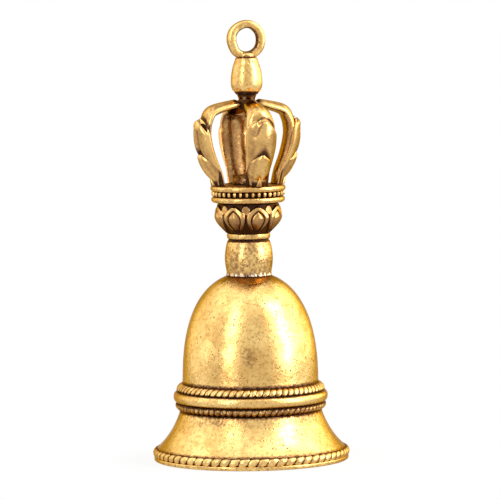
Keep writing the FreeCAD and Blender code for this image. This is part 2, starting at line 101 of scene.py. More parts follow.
screen("wall_right", 112, 12, 0.62, 0.85, 1.00, 5.2)
screen("strip_right", 68, 18, 0.56, 0.15, 0.90, 3.2)
screen("front_right", 52, 14, 0.58, 0.14, 0.90, 0.60)
screen("wall_left", -104, 18, 0.62, 0.90, 1.00, 1.9)
screen("strip_left", -35, 16, 0.58, 0.13, 0.90, 1.55)
screen("ceiling_left", -84, 62, 0.62, 0.45, 0.45, 0.45)
screen("ceiling_right", 78, 62, 0.62, 0.45, 0.45, 0.65)
screen("ceiling_front", 4, 60, 0.62, 0.40, 0.34, 0.20)


def seen_straight(nodes, links):
    """1 for what the camera sees, straight, mirrored in metal or through glass, and 0 for plain light."""
    path = nodes.new("ShaderNodeLightPath")
    seen = path.outputs["Is Camera Ray"]
    for ray in ("Is Glossy Ray", "Is Transmission Ray"):
        most = nodes.new("ShaderNodeMath")
        most.operation = "MAXIMUM"
        links.new(seen, most.inputs[0])
        links.new(path.outputs[ray], most.inputs[1])
        seen = most.outputs[0]
    return seen


world = bpy.data.worlds.new("room")
scene.world = world
world.use_nodes = True
nodes, links = world.node_tree.nodes, world.node_tree.links
nodes.clear()
room_light = nodes.new("ShaderNodeBackground")
room_light.inputs["Color"].default_value = (1.0, 0.81, 0.57, 1)
room_light.inputs["Strength"].default_value = 0.21
white = nodes.new("ShaderNodeBackground")
white.inputs["Color"].default_value = (1, 1, 1, 1)
white.inputs["Strength"].default_value = 1.0
mix = nodes.new("ShaderNodeMixShader")
out = nodes.new("ShaderNodeOutputWorld")
links.new(seen_straight(nodes, links), mix.inputs["Fac"])
links.new(room_light.outputs[0], mix.inputs[1])
links.new(white.outputs[0], mix.inputs[2])
links.new(mix.outputs[0], out.inputs["Surface"])

# Table: a wide white board. Away from the bell it shows as plain white, like the sweep behind it,
# and close to the bell it keeps a little of the bell's shade.
table_r, under_lip = 0.9, 0.00005
shade_r, clear_r = 0.013, 0.022
bpy.ops.mesh.primitive_circle_add(vertices=96, radius=table_r, fill_type="NGON",
                                  location=(0, 0, low[2] - under_lip))
table = bpy.context.active_object
table.name = "table"
board = bpy.data.materials.new("white_board")
board.use_nodes = True
nodes, links = board.node_tree.nodes, board.node_tree.links
nodes.clear()
paint = nodes.new("ShaderNodeBsdfDiffuse")
paint.inputs["Color"].default_value = (0.92, 0.92, 0.91, 1)
glow = nodes.new("ShaderNodeEmission")
glow.inputs["Strength"].default_value = 1.0
place = nodes.new("ShaderNodeTexCoord")
span = nodes.new("ShaderNodeVectorMath")
span.operation = "LENGTH"
fade = nodes.new("ShaderNodeMapRange")
fade.interpolation_type = "SMOOTHSTEP"
for socket_name, number in (("From Min", shade_r), ("From Max", clear_r), ("To Min", 0.90), ("To Max", 1.0)):
    fade.inputs[socket_name].default_value = number
seen = nodes.new("ShaderNodeMath")
seen.operation = "MULTIPLY"
mix = nodes.new("ShaderNodeMixShader")
out = nodes.new("ShaderNodeOutputMaterial")
links.new(place.outputs["Object"], span.inputs[0])
links.new(span.outputs["Value"], fade.inputs["Value"])
links.new(fade.outputs[0], seen.inputs[0])
links.new(seen_straight(nodes, links), seen.inputs[1])
links.new(seen.outputs[0], mix.inputs["Fac"])
links.new(paint.outputs[0], mix.inputs[1])
links.new(glow.outputs[0], mix.inputs[2])
links.new(mix.outputs[0], out.inputs["Surface"])
table.data.materials.append(board)

# ---------------------------------------------------------------- Brass
# Every outer piece is the same lost-wax brass: yellow where it is rubbed, brown where the polish
# thins, and near-black red-brown in each hollow, with fine casting pits all over. Painted shade is
# laid into the colour too: brown where a face turns away from the view, and on some pieces in seams
# and on faces that lie in shade.
mm = 0.001


def group_socket(tree, name, way, kind, value=None):
    """Named socket on a shader group."""
    socket = tree.interface.new_socket(name=name, in_out=way, socket_type=kind)
    if value is not None:
        socket.default_value = value
    return socket


def cast_wear_group():
    """Group that turns a piece's recess and ridge masks into the masks of a worn casting. The recess
    mask holds patina, and on some pieces painted shade as well.

    Pitting sets how deep and dark the pits are, and Ragged how far noise breaks up the edges of
    both masks. Cloud is slow colour change, Stain and Speck finer mottling, Tarnish the brown film
    round a hollow, Grime the black that fills hollows and pits, both of them carrying whatever painted
    shade the recess mask holds, Rubbed the bright ridges, and Height a bump height that holds pits,
    sand grain and the slow unevenness of a rubbed face."""
    tree = bpy.data.node_groups.new("cast_wear", "ShaderNodeTree")
    group_socket(tree, "Patina_and_shade", "INPUT", "NodeSocketFloat", 0.0)
    group_socket(tree, "Ridge", "INPUT", "NodeSocketFloat", 0.0)
    group_socket(tree, "Pitting", "INPUT", "NodeSocketFloat", 1.0)
    group_socket(tree, "Ragged", "INPUT", "NodeSocketFloat", 1.0)
    for name in ("Cloud", "Stain", "Speck", "Tarnish_and_shade", "Grime_and_shade", "Rubbed", "Height"):
        group_socket(tree, name, "OUTPUT", "NodeSocketFloat")
    n, l = tree.nodes, tree.links
    source, sink = n.new("NodeGroupInput"), n.new("NodeGroupOutput")
    place = n.new("ShaderNodeTexCoord")

    def noise(scale, detail, rough=0.55):
        node = n.new("ShaderNodeTexNoise")
        node.inputs["Scale"].default_value = scale
        node.inputs["Detail"].default_value = detail
        node.inputs["Roughness"].default_value = rough
        l.new(place.outputs["Object"], node.inputs["Vector"])
        return node.outputs["Fac"]

    def ramp(value, low_in, high_in, low_out=0.0, high_out=1.0):
        node = n.new("ShaderNodeMapRange")
        node.interpolation_type = "SMOOTHSTEP"
        limits = {"From Min": low_in, "From Max": high_in, "To Min": low_out, "To Max": high_out}
        for name, number in limits.items():
            node.inputs[name].default_value = number
        l.new(value, node.inputs["Value"])
        return node.outputs[0]

    def sums(kind, a, b):
        node = n.new("ShaderNodeMath")
        node.operation = kind
        for socket, value in zip(node.inputs, (a, b)):
            if isinstance(value, (int, float)):
                socket.default_value = value
            else:
                l.new(value, socket)
        return node.outputs[0]

    cloud = ramp(noise(150, 4), 0.36, 0.66)
    stain = ramp(noise(420, 5, 0.65), 0.44, 0.68)
    speck = ramp(noise(2100, 4, 0.75), 0.47, 0.66)
    cells = n.new("ShaderNodeTexVoronoi")
    cells.inputs["Scale"].default_value = 1900
    cells.inputs["Randomness"].default_value = 1.0
    l.new(place.outputs["Object"], cells.inputs["Vector"])
    holes = ramp(cells.outputs["Distance"], 0.10, 0.32, 1.0, 0.0)
    scarce = ramp(noise(800, 2), 0.48, 0.60)
    pits = sums("MULTIPLY", sums("MULTIPLY", holes, scarce), source.outputs["Pitting"])
    grain = noise(3600, 4, 0.75)
    broken = sums("MULTIPLY", ramp(noise(2600, 3, 0.6), 0.30, 0.72, -0.22, 0.22), source.outputs["Ragged"])
    broken_edge = sums("MULTIPLY", broken, ramp(source.outputs["Patina_and_shade"], 0.02, 0.35))
    edge = sums("ADD", source.outputs["Patina_and_shade"], broken_edge)
    tarnish_and_shade = ramp(edge, 0.08, 0.55)
    grime_and_shade = sums("MAXIMUM", ramp(edge, 0.50, 0.92), sums("MULTIPLY", pits, 0.75))
    rubbed = ramp(sums("ADD", source.outputs["Ridge"], sums("MULTIPLY", broken, 0.9)), 0.15, 0.8)
    sand = sums("SUBTRACT", sums("MULTIPLY", grain, 1.5), sums("MULTIPLY", pits, 1.6))
    bumps = sums("ADD", sand, sums("MULTIPLY", noise(820, 4), 2.4))
    results = {"Cloud": cloud, "Stain": stain, "Speck": speck, "Tarnish_and_shade": tarnish_and_shade, "Grime_and_shade": grime_and_shade,
               "Rubbed": rubbed, "Height": bumps}
    for name, value in results.items():
        l.new(value, sink.inputs[name])
    return tree


cast_wear = cast_wear_group()


def attribute(n, name):
    """Output of a piece's own mask."""
    node = n.new("ShaderNodeAttribute")
    node.attribute_name = name
    return node.outputs["Fac"]


def cast_brass(name, pitting=1.0, bright=(0.93, 0.63, 0.23), brown=(0.48, 0.24, 0.06), roughness=0.21,
               grain=0.42, speck=0.60, ragged=1.0, rim_shade_power=2.7):
    """Worn antique brass. Colour runs from bright through brown to a dark patina by the wear masks,
    which also carry painted shade on some pieces, and to the grey of soft solder where a piece has a
    solder mask. Grain is the strength of the bump, speck how much the fine specks show, and ragged how
    broken the edges of the patina are. Where a face turns away from the view, dark brown is painted in
    as rim shade, by how far it is turned raised to the given power."""
    mat = bpy.data.materials.new(name)
    mat.use_nodes = True
    n, l = mat.node_tree.nodes, mat.node_tree.links
    n.clear()
    shader, out = n.new("ShaderNodeBsdfPrincipled"), n.new("ShaderNodeOutputMaterial")
    l.new(shader.outputs[0], out.inputs["Surface"])
    wear = n.new("ShaderNodeGroup")
    wear.node_tree = cast_wear
    wear.inputs["Pitting"].default_value = pitting
    wear.inputs["Ragged"].default_value = ragged
    l.new(attribute(n, "patina_and_shade"), wear.inputs["Patina_and_shade"])
    l.new(attribute(n, "ridge"), wear.inputs["Ridge"])

    def blend(fac, a, b):
        node = n.new("ShaderNodeMix")
        node.data_type = "RGBA"
        l.new(fac, node.inputs[0])
        for socket, value in ((node.inputs[6], a), (node.inputs[7], b)):
            if isinstance(value, tuple):
                socket.default_value = (*value, 1)
            else:
                l.new(value, socket)
        return node.outputs[2]

    def scaled(value, low_out, high_out):
        node = n.new("ShaderNodeMapRange")
        node.inputs["To Min"].default_value = low_out
        node.inputs["To Max"].default_value = high_out
        l.new(value, node.inputs["Value"])
        return node.outputs[0]

    film, black_brown, solder_grey = (0.26, 0.12, 0.05), (0.045, 0.019, 0.010), (0.58, 0.52, 0.44)
    middle = tuple(0.45 * a + 0.55 * b for a, b in zip(bright, brown))
    colour = blend(scaled(wear.outputs["Cloud"], 0.0, 0.75), bright, middle)
    colour = blend(scaled(wear.outputs["Stain"], 0.0, 0.55), colour, brown)
    colour = blend(scaled(wear.outputs["Speck"], 0.0, speck), colour, tuple(0.7 * c for c in brown))
    colour = blend(scaled(wear.outputs["Rubbed"], 0.0, 0.75), colour, tuple(min(1, 1.06 * c) for c in bright))
    colour = blend(scaled(wear.outputs["Tarnish_and_shade"], 0.0, 0.85), colour, film)
    colour = blend(wear.outputs["Grime_and_shade"], colour, black_brown)
    colour = blend(attribute(n, "solder"), colour, solder_grey)
    # Painted rim shade: where a face turns away from the view, Layer Weight's Facing lays dark brown into the
    # colour.
    rim = n.new("ShaderNodeLayerWeight")
    rim.inputs["Blend"].default_value = 0.5
    painted_rim_shade = n.new("ShaderNodeMath")
    painted_rim_shade.operation = "POWER"
    painted_rim_shade.inputs[1].default_value = rim_shade_power
    l.new(rim.outputs["Facing"], painted_rim_shade.inputs[0])
    colour = blend(scaled(painted_rim_shade.outputs[0], 0.0, 0.90), colour, tuple(0.5 * c for c in brown))
    l.new(colour, shader.inputs["Base Color"])
    shader.inputs["Specular Tint"].default_value = (0.80, 0.52, 0.24, 1)
    shader.inputs["Metallic"].default_value = 1.0
    rough = n.new("ShaderNodeMath")
    rough.operation = "ADD"
    l.new(scaled(wear.outputs["Grime_and_shade"], roughness, roughness + 0.38), rough.inputs[0])
    l.new(scaled(wear.outputs["Stain"], -0.04, 0.10), rough.inputs[1])
    l.new(rough.outputs[0], shader.inputs["Roughness"])
    bump = n.new("ShaderNodeBump")
    bump.inputs["Strength"].default_value = grain
    bump.inputs["Distance"].default_value = 0.00004
    l.new(wear.outputs["Height"], bump.inputs["Height"])
    l.new(bump.outputs["Normal"], shader.inputs["Normal"])
    return mat


antique_brass = cast_brass("antique_brass")


def smooth(x, a, b):
    """Smoothstep of x from a to b."""
    t = np.clip((x - a) / (b - a), 0, 1)
    return t * t * (3 - 2 * t)


def surface(name, sheets, material, body="bell", replaces=()):
    """Mesh of one or more grids. Each sheet is (places, recess, ridge, closed_u, closed_v), with places
    of shape (rows, columns, 3) in millimetres. Grid cell (i, j) is the face through its four corners;
    a closed direction wraps round. A row that is not closed is capped by a fan on its middle point."""
    verts, faces, masks = [], [], {"patina_and_shade": [], "ridge": []}
    base = 0
    for places, patina_and_shade, ridge, closed_u, closed_v in sheets:
        rows, cols = places.shape[:2]
        index = base + np.arange(rows * cols).reshape(rows, cols)
        down = np.vstack([index, index[:1]]) if closed_v else index
        grid = np.hstack([down, down[:, :1]]) if closed_u else down
        quads = np.stack([grid[:-1, :-1], grid[:-1, 1:], grid[1:, 1:], grid[1:, :-1]], -1).reshape(-1, 4)
        verts.append(places.reshape(-1, 3))
        faces.append(quads)
        masks["patina_and_shade"].append(np.broadcast_to(patina_and_shade, (rows, cols)).reshape(-1))
        masks["ridge"].append(np.broadcast_to(ridge, (rows, cols)).reshape(-1))
        base += rows * cols
        if closed_u and not closed_v:
            for row, turned_over in ((0, True), (-1, False)):
                ring = index[row]
                verts.append(places[row].mean(0)[None])
                masks["patina_and_shade"].append(np.broadcast_to(patina_and_shade, (rows, cols))[row].mean()[None])
                masks["ridge"].append(np.broadcast_to(ridge, (rows, cols))[row].mean()[None])
                after = np.roll(ring, -1)
                hub = np.full_like(ring, base)
                fan = [after, ring, hub, hub] if turned_over else [ring, after, hub, hub]
                faces.append(np.stack(fan, -1))
                base += 1
    verts, faces = np.vstack(verts) * mm, np.vstack(faces)
    triangles = faces[:, 2] == faces[:, 3]
    lists = faces[~triangles].tolist() + faces[triangles][:, :3].tolist()
    mesh = bpy.data.meshes.new(name)
    mesh.from_pydata(verts.tolist(), [], lists)
    for mask, values in masks.items():
        layer = mesh.attributes.new(mask, "FLOAT", "POINT")
        layer.data.foreach_set("value", np.concatenate(values).astype(np.float32))
    mesh.polygons.foreach_set("use_smooth", np.ones(len(lists), bool))
    mesh.materials.append(material)
    mesh.update()
    piece = bpy.data.objects.new(name, mesh)
    scene.collection.objects.link(piece)
    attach(piece, body)
    if replaces:
        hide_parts(*replaces)
    return piece


def path_points(corners, spacing):
    """Points along a chain of straight runs, evenly spaced within each run."""
    corners = np.array(corners, float)
    runs = []
    for a, b in zip(corners[:-1], corners[1:]):
        steps = max(int(np.ceil(np.linalg.norm(b - a) / spacing)), 1)
        share = np.arange(steps)[:, None] / steps
        runs.append(a + (b - a) * share)
    return np.vstack(runs + [corners[-1:]])


def spun(profile, columns, radial=None):
    """Places of a profile (r, z) carried round Z in equal steps, moved out by radial where it is given."""
    around = np.linspace(0, 2 * np.pi, columns, endpoint=False)
    r = profile[:, 0][:, None] + (0 if radial is None else radial)
    z = np.broadcast_to(profile[:, 1][:, None], (len(profile), columns))
    r = np.broadcast_to(r, z.shape)
    return np.stack([r * np.cos(around), r * np.sin(around), z], -1), around


# ---------------------------------------------------------------- Cup
# The cup is one casting: a tall dome, a seat for the waist hoops and a hollow flared skirt that
# ends in a plain lip under the rim rope. Its face is softly uneven from filing and rubbing.
lip_r, lip_h = 13.30, 0.55
rim_seat_r, rim_top = 12.46, 1.60
skirt_foot_r, skirt_top_r, skirt_top, skirt_hollow = 12.90, 9.66, 6.85, 0.40
waist_r, dome_z, dome_h, power = 9.30, 10.55, 15.036, 2.4
cup_top, cavity_top, wall, mouth_r, neck_r, bolt_hole_r = 25.20, 23.60, 1.15, 11.75, 2.90, 1.04
cavity_seat_r, cavity_skirt_top, lip_round, cup_columns = 2.85, 7.25, 0.10, 360


def dome(foot_r, rise_h, seat_r, count):
    """Superellipse: (r / foot_r)^power + (rise / rise_h)^power = 1, up to where r is seat_r."""
    top = rise_h * (1 - (seat_r / foot_r) ** power) ** (1 / power)
    rise = top * np.sin(np.linspace(0, np.pi / 2, count))
    return np.stack([foot_r * (1 - (rise / rise_h) ** power) ** (1 / power), dome_z + rise], 1)


def bow(a, b, rise, count):
    """Shallow curve from a to b, bowed by rise to the left of that direction as a parabola."""
    a, b = np.array(a), np.array(b)
    t = np.linspace(0, 1, count)[:, None]
    side = np.array([-(b - a)[1], (b - a)[0]]) / np.linalg.norm(b - a)
    return a + (b - a) * t + side * rise * 4 * t * (1 - t)


outer_dome = dome(waist_r, dome_h, neck_r, 90)
inner_foot_r = waist_r - wall
inner_dome = dome(inner_foot_r, dome_h * (cavity_top - dome_z) / (cup_top - dome_z), cavity_seat_r, 46)[::-1]
outer_line = np.vstack([
    path_points([(mouth_r + lip_round, 0), (lip_r - lip_round, 0), (lip_r, lip_round),
                 (lip_r, lip_h - 0.06)], 0.18),
    path_points([(lip_r - 0.06, lip_h), (rim_seat_r, lip_h), (rim_seat_r, rim_top)], 0.5),
    bow((skirt_foot_r, rim_top), (skirt_top_r, skirt_top), skirt_hollow, 46),
    path_points([(waist_r, skirt_top), (waist_r, dome_z)], 1.2),
    outer_dome[1:],
])
inner_line = np.vstack([
    path_points([(bolt_hole_r, cup_top), (bolt_hole_r, cavity_top)], 0.8),
    inner_dome,
    bow((inner_foot_r, cavity_skirt_top), (mouth_r, lip_round), -(skirt_hollow + wall / 4), 34),
])
cup_line = np.vstack([outer_line, inner_line])
outer = (np.arange(len(cup_line)) < len(outer_line))[:, None]
r, z = cup_line[:, 0][:, None], cup_line[:, 1][:, None]
around = np.linspace(0, 2 * np.pi, cup_columns, endpoint=False)[None]
ripple = 0.020 * np.sin(3 * around + 0.7) * np.sin(z / 3.1)
ripple = ripple + 0.013 * np.sin(7 * around + 1.9) * np.cos(z / 1.7 + 0.6)
skirt_face = smooth(z, 1.8, 2.4) * (1 - smooth(z, 6.2, 6.7))
dome_face = smooth(z, 10.8, 11.6) * (1 - smooth(z, 24.3, 24.9))
places = spun(cup_line, cup_columns, (ripple - 0.02) * (outer * (skirt_face + dome_face)))[0]
# Dark lines run beside the hoops and under the neck: patina in the seams, with painted contact shade
# where the hoops and the neck meet the cup. A darker, streaked patch lies on the left of the dome.
patina_and_contact_shade = 1.05 * np.exp(-((z - dome_z - 0.05) / 0.30) ** 2) + 1.1 * np.exp(-((z - skirt_top) / 0.30) ** 2)
patina_and_contact_shade = patina_and_contact_shade + 0.28 * np.exp(-((z - 6.0) / 0.80) ** 2) * (1 + 0.3 * np.sin(5 * around + 1.0))
patina_and_contact_shade = patina_and_contact_shade + 0.75 * np.exp(-((z - cup_top) / 0.85) ** 2)
patina_and_contact_shade = patina_and_contact_shade + 0.75 * np.exp(-((z - rim_top) / 0.26) ** 2)
spot_azimuth, spot_z = 4.39, 15.6
dark_patch = np.exp(-((around - spot_azimuth) / 0.15) ** 2 - ((z - spot_z) / 3.0) ** 2)
dark_patch = dark_patch * (1 + 0.4 * np.sin(9 * around + 1.3 * z))
patina_and_contact_shade = patina_and_contact_shade + 0.30 * dark_patch * (z > dome_z)
patina_and_shade = np.clip(np.where(outer, patina_and_contact_shade, 0.42), 0, 1)
ridge = np.where(outer & (z < lip_h), 0.3, 0.0)
patina_and_shade = np.where(outer & (z < lip_h), 0.24, patina_and_shade)
surface("cup", [(places, patina_and_shade, ridge, True, True)], antique_brass, replaces=("bell_cup",))


# ---------------------------------------------------------------- Rope hoops
# Each rope is a hoop of wire twisted into round strands, laid in its seat on the cup. The strands
# are rubbed bright on top and black between, with a dark nick at the foot of each groove.
def rope(name, node, centre, half_h, half_w, tilt, strands, groove, twist, dirt):
    """Hoop whose section is an ellipse (half_w out, half_h up, tilted) cut by leaning grooves.

    At angle u round the bell and v round the section the strand phase is strands*u - twist*v, and
    the section is drawn in by groove*(1 - |cos(phase/2)|^0.55) where it faces out, more so below."""
    v = np.linspace(-np.pi, np.pi, 30, endpoint=False)[:, None]
    u = np.linspace(0, 2 * np.pi, 15 * strands, endpoint=False)[None]
    phase = strands * u - twist * v
    crest = np.abs(np.cos(phase / 2)) ** 0.55
    facing = smooth(np.cos(v), -0.5, 0.2)
    draw = 1 - groove * (1 - 0.35 * np.sin(v)) * (1 - crest) * facing
    out, up = half_w * np.cos(v) * draw, half_h * np.sin(v) * draw
    c, s = math.cos(tilt), math.sin(tilt)
    r = centre[0] + out * c - up * s
    z = centre[1] + out * s + up * c
    places = np.stack([r * np.cos(u), r * np.sin(u), z + 0 * u], -1)
    edge = smooth(np.abs(np.sin(v)) * np.ones_like(u), 0.80, 1.0)
    nick = smooth(1 - crest, 0.42 + 0.14 * np.sin(v), 0.85) * facing
    patina_and_shade = np.clip(dirt + 0.9 * nick + 0.6 * edge + (1 - facing), 0, 1)
    ridge = np.clip(crest * facing - 0.5 * edge - 2.0 * dirt, 0, 1) * 0.7
    return surface(name, [(places, patina_and_shade, ridge, True, True)], antique_brass, replaces=(node,))


rope("rope_rim", "rim_rope", centre=(12.93, 1.03), half_h=0.62, half_w=0.51, tilt=0.0,
     strands=64, groove=0.40, twist=1.15, dirt=0.20)
rope("rope_waist_low", "lower_waist_rope", centre=(9.80, 7.38), half_h=0.60, half_w=0.43, tilt=math.radians(-40),
     strands=72, groove=0.46, twist=1.0, dirt=0.40)
rope("rope_waist_high", "upper_waist_rope", centre=(9.62, 9.96), half_h=0.64, half_w=0.38, tilt=math.radians(42),
     strands=68, groove=0.36, twist=1.2, dirt=0.24)

# The plain band between the waist ropes is a half-round hoop, the brightest line of the waist.
v = np.linspace(0, 2 * np.pi, 40, endpoint=False)
band_mid, band_r, band_half_w, band_half_h, band_seat_r = 8.68, 9.86, 0.69, 0.77, 9.31
band_rise = np.sign(np.sin(v)) * np.abs(np.sin(v)) ** 0.8
band_line = np.stack([band_r + band_half_w * np.cos(v), band_mid + band_half_h * band_rise], 1)
band_line[:, 0] = np.maximum(band_line[:, 0], band_seat_r)
patina_and_shade = (0.20 + 0.60 * smooth(np.abs(band_line[:, 1] - band_mid), 0.54, 0.75))[:, None]
ridge = (1 - smooth(np.abs(band_line[:, 1] - band_mid), 0.1, 0.75))[:, None] * 0.5
surface("band_waist", [(spun(band_line, 300)[0], patina_and_shade, ridge, True, True)], antique_brass,
        replaces=("waist_band",))

# ---------------------------------------------------------------- Neck and collar
# The neck is a smooth turned barrel that carries the crown. It is soldered down on the dome with a
# small rough fillet, and a thin collar with a dark groove under it closes its top.
neck_foot, neck_face_h, neck_top, groove_r, neck_columns = cup_top + 0.01, 4.68, 30.19, 2.76, 240
v = np.linspace(0, 1, 60)
belly = neck_r + 0.37 * np.sin(np.pi * v) ** 0.8
neck_line = np.vstack([
    np.stack([belly + 0.16 * np.exp(-v / 0.035), neck_foot + neck_face_h * v], 1),
    [(2.86, 29.95), (groove_r, 30.00), (groove_r, neck_top), (bolt_hole_r, neck_top), (bolt_hole_r, neck_foot)],
])
r, z = neck_line[:, 0][:, None], neck_line[:, 1][:, None]
around = np.linspace(0, 2 * np.pi, neck_columns, endpoint=False)[None]
fillet = np.exp(-((z - cup_top) / 0.35) ** 2) * (r > 2.5)
wrinkle = np.sin(17 * around + 2 * np.sin(5 * around))
wrinkle = wrinkle + 0.6 * np.sin(41 * around + 3 * np.sin(3 * around) + 6 * z)
rough = 0.06 * fillet * (1 + wrinkle) + 0.012 * np.sin(2 * around + z) * (r > 2.88)
patina_and_shade = np.clip(0.31 + smooth(z, 29.75, 29.95) * (r > 2.5) + 0.45 * fillet * (wrinkle < -0.3), 0, 1)
neck = surface("neck", [(spun(neck_line, neck_columns, rough)[0], patina_and_shade, 0.25 * fillet, True, True)],
               antique_brass, replaces=("neck_barrel",))
solder = np.clip(fillet * (0.55 + 0.45 * wrinkle), 0, 0.75)
layer = neck.data.attributes.new("solder", "FLOAT", "POINT")
layer.data.foreach_set("value", solder.reshape(-1).astype(np.float32))


def turned_ring(name, node, out_r, in_r, z0, z1, ease, columns,
                material=None, dirt=0.9):
    """Flat ring whose two outer edges are quarter circles of radius ease. Dirt is the recess of the
    faces that meet other pieces."""
    arc = np.linspace(0, np.pi / 2, 7)
    line = np.vstack([
        [(in_r, z0)],
        path_points([(in_r + 0.02, z0), (out_r - ease, z0)], 0.4),
        np.stack([out_r - ease + ease * np.sin(arc), z0 + ease - ease * np.cos(arc)], 1)[1:],
        np.stack([out_r - ease + ease * np.cos(arc), z1 - ease + ease * np.sin(arc)], 1),
        path_points([(out_r - ease, z1), (in_r + 0.02, z1)], 0.4)[1:],
        [(in_r, z1)],
    ])
    face = smooth(line[:, 0], out_r - 1.1 * ease, out_r - 0.3 * ease)[:, None]
    return surface(name, [(spun(line, columns)[0], dirt * (1 - face) + 0.24 * face, 0.32 * face, True, True)],
                   material or antique_brass, replaces=(node,))


turned_ring("collar", "neck_collar", out_r=2.95, in_r=bolt_hole_r, z0=30.20, z1=31.05, ease=0.26, columns=160)

# ---------------------------------------------------------------- Lotus cup
# Eight petals stand round the cup. Each has a raised border and a raised teardrop in it, and a
# small tip shows between two petals. The ground between them is filled with black patina.
relief_brass = cast_brass("relief_brass", pitting=0.5, bright=(0.85, 0.54, 0.19), brown=(0.36, 0.17, 0.045),
                          roughness=0.16, grain=0.20, speck=0.30, ragged=0.4, rim_shade_power=2.4)
lotus_z, lotus_h, lotus_r, lotus_foot_r, lotus_top_r = 31.05, 4.10, 4.30, 2.78, 3.92
petals, rows, columns = 8, 130, 720
share = np.linspace(0, 1, rows)[:, None]
around = np.linspace(0, 2 * np.pi, columns, endpoint=False)[None]


def outline_gap(across, up, half_w, z0, z1, shoulder):
    """How far in millimetres a place lies inside a petal outline: narrow at its foot z0, widest at
    the shoulder share of its height and pointed at its head z1, less the distance across."""
    y = np.clip((up - z0) / (z1 - z0), -0.2, 1.2)
    low_part = 0.30 + 0.70 * np.sin(np.clip(y / shoulder, 0, 1) * np.pi / 2)
    high_part = 1 - np.clip((y - shoulder) / (1 - shoulder), 0, 1) ** 2.3
    width = half_w * np.where(y < shoulder, low_part, high_part)
    ends = np.minimum(y, 1 - y) * (z1 - z0) * 0.9
    return np.minimum(width - np.abs(across), ends)


def petal_across(turned_by):
    """Distance from the middle line of the nearest petal, along the cup at its widest."""
    step = 2 * np.pi / petals
    return (np.mod(around + np.pi / 2 + turned_by + step / 2, step) - step / 2) * lotus_r


def cup_radius(up):
    """Ground of the lotus cup: it swells from its foot as a sine^1.1 up to the shoulder at 0.57 of the
    height, and draws in by 0.20 above the middle."""
    swell = np.sin(np.clip(up / (0.57 * lotus_h), 0, 1) * np.pi / 2) ** 1.1
    return lotus_foot_r + (lotus_r - lotus_foot_r) * swell - 0.20 * smooth(up, 0.5 * lotus_h, lotus_h)


up = share * lotus_h
across = petal_across(0.0)
half_w = 0.50 * 2 * np.pi * lotus_r / petals
outer_gap = outline_gap(across, up, half_w, -0.30, 3.86, 0.58)
hollow_gap = outline_gap(across, up, half_w * 0.62, 0.10, 3.28, 0.55)
tear_gap = outline_gap(across, up, half_w * 0.52, 0.25, 3.08, 0.52)
tip_gap = outline_gap(petal_across(np.pi / petals), up, half_w * 0.40, 2.50, 4.02, 0.45)
border = np.sqrt(smooth(outer_gap, -0.03, 0.34))
hollow = smooth(hollow_gap, -0.03, 0.15)
tear = np.clip(tear_gap / 0.60, 0, 1) ** 0.5
tip = smooth(tip_gap, 0.0, 0.22) * (1 - border)
relief = 0.33 * border - 0.24 * hollow + 0.30 * tear + 0.14 * tip
lotus_radius = cup_radius(up) + relief
flat = smooth(up, lotus_h * 0.97, lotus_h)
lotus_radius = lotus_radius * (1 - flat) + lotus_top_r * flat
places = np.stack([lotus_radius * np.cos(around), lotus_radius * np.sin(around),
                   lotus_z + up + 0 * around], -1)
ground = np.clip(1 - 1.12 * border - 0.9 * tip, 0, 1) + 0.55 * np.clip(hollow - 1.8 * tear, 0, 1)
# The lower part of the cup, which faces down, is darkened as painted shade, fading out between 0.7 and 2.5 mm up;
# the cup is also darkened at its foot and at its top edge.
patina_and_shade = np.clip(0.30 + 0.40 * (1 - smooth(up, 0.7, 2.5)) + ground * 0.85
                 + 0.9 * (1 - smooth(up, 0.10, 0.70)) + smooth(up, 3.85, 4.05), 0, 1)
ridge = np.clip(border * (1 - hollow) + tear, 0, 1) ** 3 * 0.50
bore = np.stack([bolt_hole_r * np.cos(around[0]), bolt_hole_r * np.sin(around[0])], 1)
top_ring = np.concatenate([bore, np.full((columns, 1), lotus_z + lotus_h)], 1)[None]
foot_ring = np.concatenate([bore, np.full((columns, 1), lotus_z)], 1)[None]
places = np.concatenate([places, top_ring, foot_ring])
patina_and_shade = np.vstack([patina_and_shade, np.ones((2, columns))])
ridge = np.vstack([ridge, np.zeros((2, columns))])
surface("lotus", [(places, patina_and_shade, ridge, True, True)], relief_brass, replaces=("lotus_cup",))

# ---------------------------------------------------------------- Crown rings and beads
# Two turned rings clamp a ring of upright beads between them. The channel behind the beads and the
# underside of the lower ring are black, the rings themselves are rubbed to gold.
arc = np.linspace(-np.pi / 2, np.pi / 2, 15)
base_low, base_high, ring_low, ring_high = 35.15, 36.05, 36.85, 37.55
bulge_r, bulge_z, bulge_round, channel_r, crown_columns = 4.62, 35.62, 0.42, 4.35, 280
base_line = np.vstack([
    path_points([(bolt_hole_r, base_low), (3.9, base_low), (4.45, base_low + 0.06)], 0.5),
    np.stack([bulge_r + bulge_round * np.cos(arc), bulge_z + bulge_round * np.sin(arc)], 1),
    path_points([(4.40, base_high), (channel_r, 36.10), (channel_r, ring_low), (bolt_hole_r, ring_low)], 0.5),
])
r, z = base_line[:, 0][:, None], base_line[:, 1][:, None]
face = smooth(r, 4.72, 4.95)
surface("crown_floor", [(spun(base_line, crown_columns)[0], 1 - 0.76 * face, 0.30 * face, True, True)],
        antique_brass, replaces=("crown_base",))
turned_ring("crown_rim", "crown_ring", out_r=5.13, in_r=bolt_hole_r, z0=ring_low - 0.12, z1=ring_high,
            ease=0.38, columns=crown_columns)

